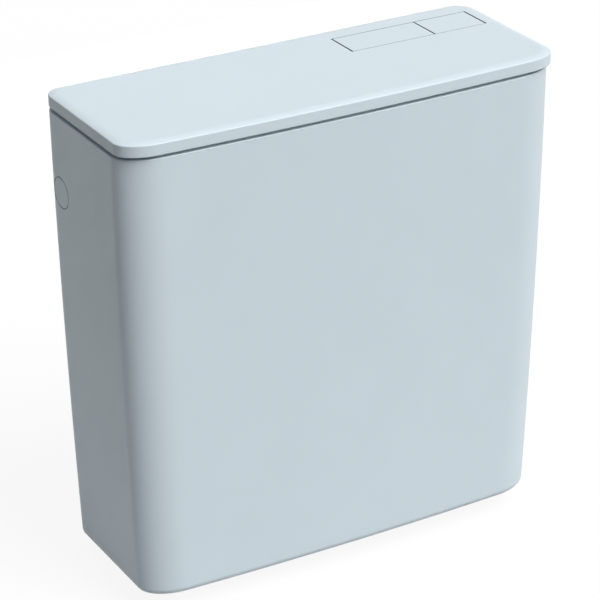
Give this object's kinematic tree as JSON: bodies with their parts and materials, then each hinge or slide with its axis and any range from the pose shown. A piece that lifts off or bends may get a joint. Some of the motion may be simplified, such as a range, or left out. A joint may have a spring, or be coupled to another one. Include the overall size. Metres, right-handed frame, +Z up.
{
  "type": "toilet cistern",
  "caption": "Slim wall-hung plastic toilet cistern with drafted walls, a lift-off lid, two hinged flush plates and its flush and fill valves inside.",
  "frame": {"origin": "midpoint between the two hanging screw holes, on the plane of the wall", "axes": "+X to the right as seen from the front, +Y into the wall, +Z up"},
  "size_m": [0.4063, 0.1477, 0.417],
  "materials": {
    "shell": "satin moulded, bluish white",
    "foam": "bead foam",
    "moulding": "satin moulded",
    "valve_plastic": "moulded",
    "lift_plastic": "moulded",
    "grey_plastic": "moulded",
    "seal_rubber": "matt",
    "brass": "turned",
    "steel": "drawn wire and turned pins"
  },
  "bodies": {
    "tank_assembly": {"tank": "shell", "insulation_liner": "foam", "side_plug": "shell", "rocker_bracket": "moulding", "bracket_screws": "steel", "rocker_pivot_pin": "steel", "outlet_spigot": "grey_plastic", "spigot_gasket": "seal_rubber", "spigot_locknut": "grey_plastic", "valve_basket": "valve_plastic", "valve_tower": "valve_plastic", "tower_cap": "valve_plastic", "inlet_shank": "brass", "inlet_gasket": "seal_rubber", "inlet_locknut": "brass", "inlet_strainer": "grey_plastic", "fill_valve_body": "moulding", "fill_diaphragm": "seal_rubber", "fill_valve_cap": "valve_plastic", "arm_pivot_pin": "steel", "float_chamber": "moulding", "downpipe": "grey_plastic"},
    "lid_assembly": {"lid": "shell", "button_carrier": "moulding", "carrier_screws": "steel", "plate_hinge_pins": "steel", "full_plate_spring": "steel", "half_plate_spring": "steel"},
    "full_plate": {"full_flush_plate": "shell", "full_push_pin": "lift_plastic"},
    "half_plate": {"half_flush_plate": "shell", "half_push_pin": "lift_plastic"},
    "full_lever": {"full_rocker": "lift_plastic"},
    "half_lever": {"half_rocker": "lift_plastic"},
    "valve_bell": {"overflow_pipe": "grey_plastic", "valve_disc": "valve_plastic", "valve_seal": "seal_rubber", "full_flush_float": "foam", "full_lift_rod": "lift_plastic"},
    "half_lifter": {"half_lift_rod": "lift_plastic", "half_flush_float": "foam"},
    "float_unit": {"fill_float": "foam", "adjuster_rod": "grey_plastic"},
    "float_lever": {"float_arm": "lift_plastic"}
  },
  "joints": [
    {"name": "lid_lift", "type": "slide", "parent": "tank_assembly", "child": "lid_assembly", "axis": [0, 0, 1], "range_m": [0, 0.12]},
    {"name": "full_flush_press", "type": "hinge", "parent": "lid_assembly", "child": "full_plate", "pos_m": [0.0585, -0.03775, 0.041], "axis": [0, 1, 0], "range_deg": [0, 6], "stiffness_Nm_per_rad": 0.6, "springref_deg": -8.59, "deforming": ["full_plate_spring"]},
    {"name": "half_flush_press", "type": "hinge", "parent": "lid_assembly", "child": "half_plate", "pos_m": [0.177, -0.03775, 0.041], "axis": [0, -1, 0], "range_deg": [0, 9], "stiffness_Nm_per_rad": 0.3, "springref_deg": -8.59, "deforming": ["half_plate_spring"]},
    {"name": "full_flush_rocker", "type": "hinge", "parent": "tank_assembly", "child": "full_lever", "pos_m": [0.0804, -0.04575, 0.016], "axis": [0, 1, 0], "range_deg": [0, 9.4]},
    {"name": "half_flush_rocker", "type": "hinge", "parent": "tank_assembly", "child": "half_lever", "pos_m": [0.0804, -0.03025, 0.016], "axis": [0, 1, 0], "range_deg": [0, 5.7]},
    {"name": "full_valve_lift", "type": "slide", "parent": "tank_assembly", "child": "valve_bell", "axis": [0, 0, 1], "range_m": [0, 0.0132]},
    {"name": "half_valve_lift", "type": "slide", "parent": "tank_assembly", "child": "half_lifter", "axis": [0, 0, 1], "range_m": [0, 0.008]},
    {"name": "float_rise", "type": "slide", "parent": "tank_assembly", "child": "float_unit", "axis": [0, 0, 1], "range_m": [0, 0.018]},
    {"name": "float_arm_swing", "type": "hinge", "parent": "tank_assembly", "child": "float_lever", "pos_m": [0.11508, -0.025, -0.026], "axis": [0, 1, 0], "range_deg": [0, 22.4]}
  ],
  "couplings": [
    {"joint": "full_flush_rocker", "follows": "full_flush_press", "ratio": 1.562},
    {"joint": "full_valve_lift", "follows": "full_flush_press", "m_per_rad": 0.1258},
    {"joint": "half_flush_rocker", "follows": "half_flush_press", "ratio": 0.6275},
    {"joint": "half_valve_lift", "follows": "half_flush_press", "m_per_rad": 0.05055},
    {"joint": "float_arm_swing", "follows": "float_rise", "rad_per_m": 21.642}
  ]
}
